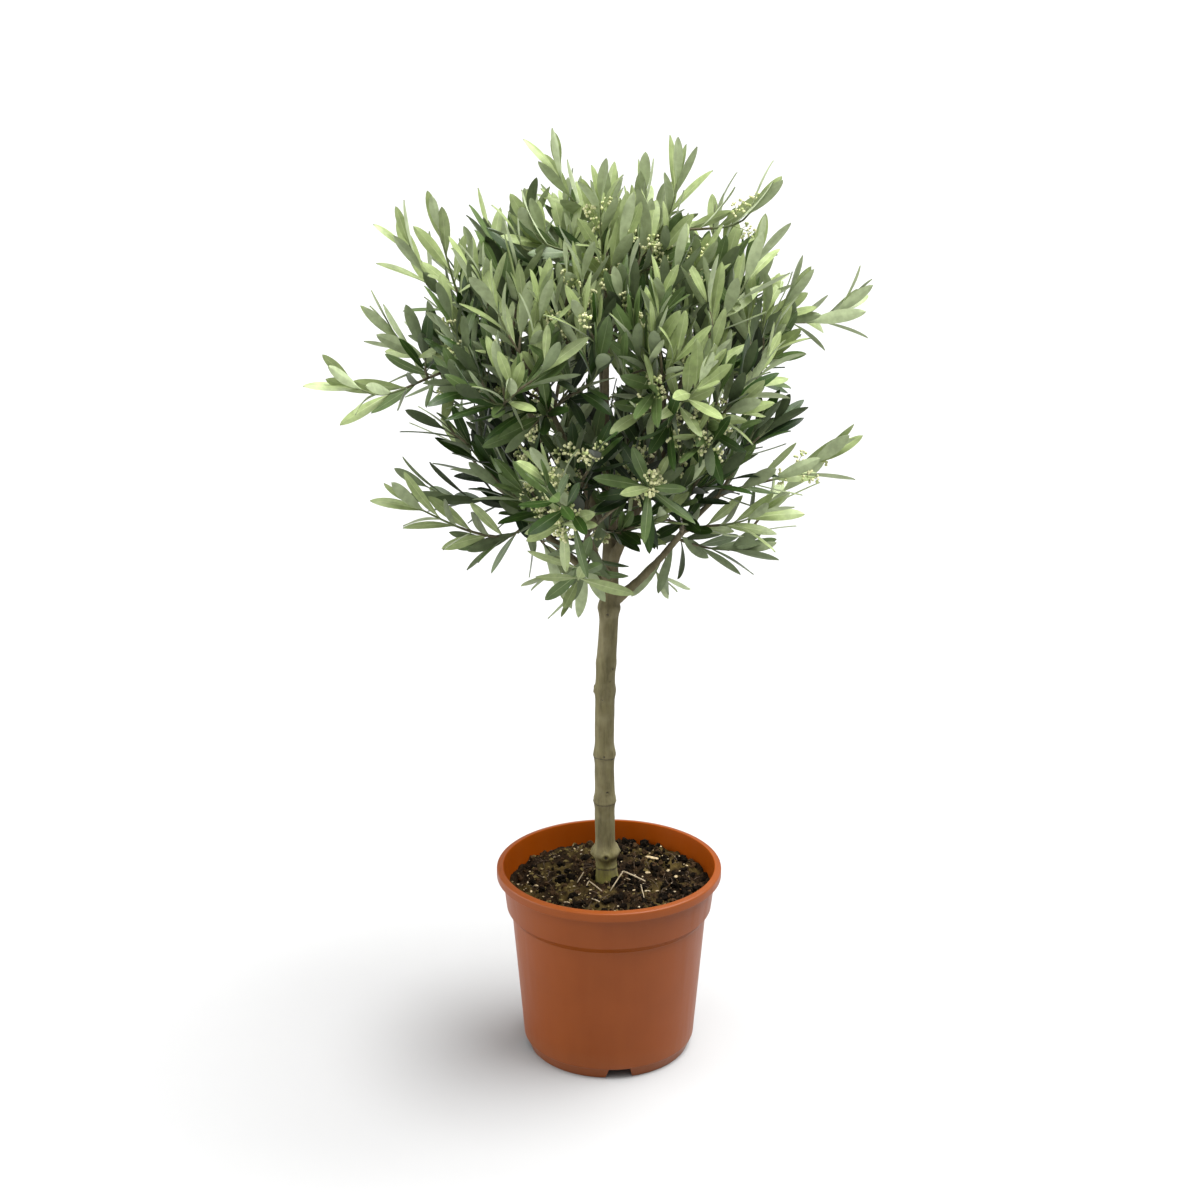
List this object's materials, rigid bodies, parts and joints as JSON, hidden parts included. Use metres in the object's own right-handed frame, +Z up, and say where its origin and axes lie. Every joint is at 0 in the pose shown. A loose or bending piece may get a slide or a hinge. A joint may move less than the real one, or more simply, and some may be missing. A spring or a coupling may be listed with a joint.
{
  "type": "standard olive tree in a pot",
  "caption": "Young standard olive tree in flower bud: a round open crown of narrow leaves on boughs and a bare straight trunk, planted in a tapered plastic nursery pot.",
  "frame": {"origin": "on the floor under the pot's axis, in the plane of the pot's foot ring", "axes": "+Z up along the trunk, -Y towards the front, +X to the right of a viewer in front"},
  "size_m": [0.4949, 0.468, 0.8694],
  "materials": {
    "pot_plastic": "satin moulded polypropylene, terracotta colour",
    "soil": "loose dark peat and fibre",
    "bark": "smooth grey-green bark with faint ridges",
    "foliage": "leathery leaves, satin above and silvery below"
  },
  "bodies": {
    "root": {"pot": "pot_plastic", "soil": "soil", "trunk": "bark", "bough_low_1": "bark", "bough_low_2": "bark", "bough_low_3": "bark", "bough_low_4": "bark", "bough_high_1": "bark", "bough_high_2": "bark", "bough_high_3": "bark", "bough_high_4": "bark", "bough_high_5": "bark", "bough_top": "bark", "foliage_low_1": "foliage", "foliage_low_2": "foliage", "foliage_low_3": "foliage", "foliage_low_4": "foliage", "foliage_high_1": "foliage", "foliage_high_2": "foliage", "foliage_high_3": "foliage", "foliage_high_4": "foliage", "foliage_high_5": "foliage", "foliage_top": "foliage"}
  },
  "joints": []
}
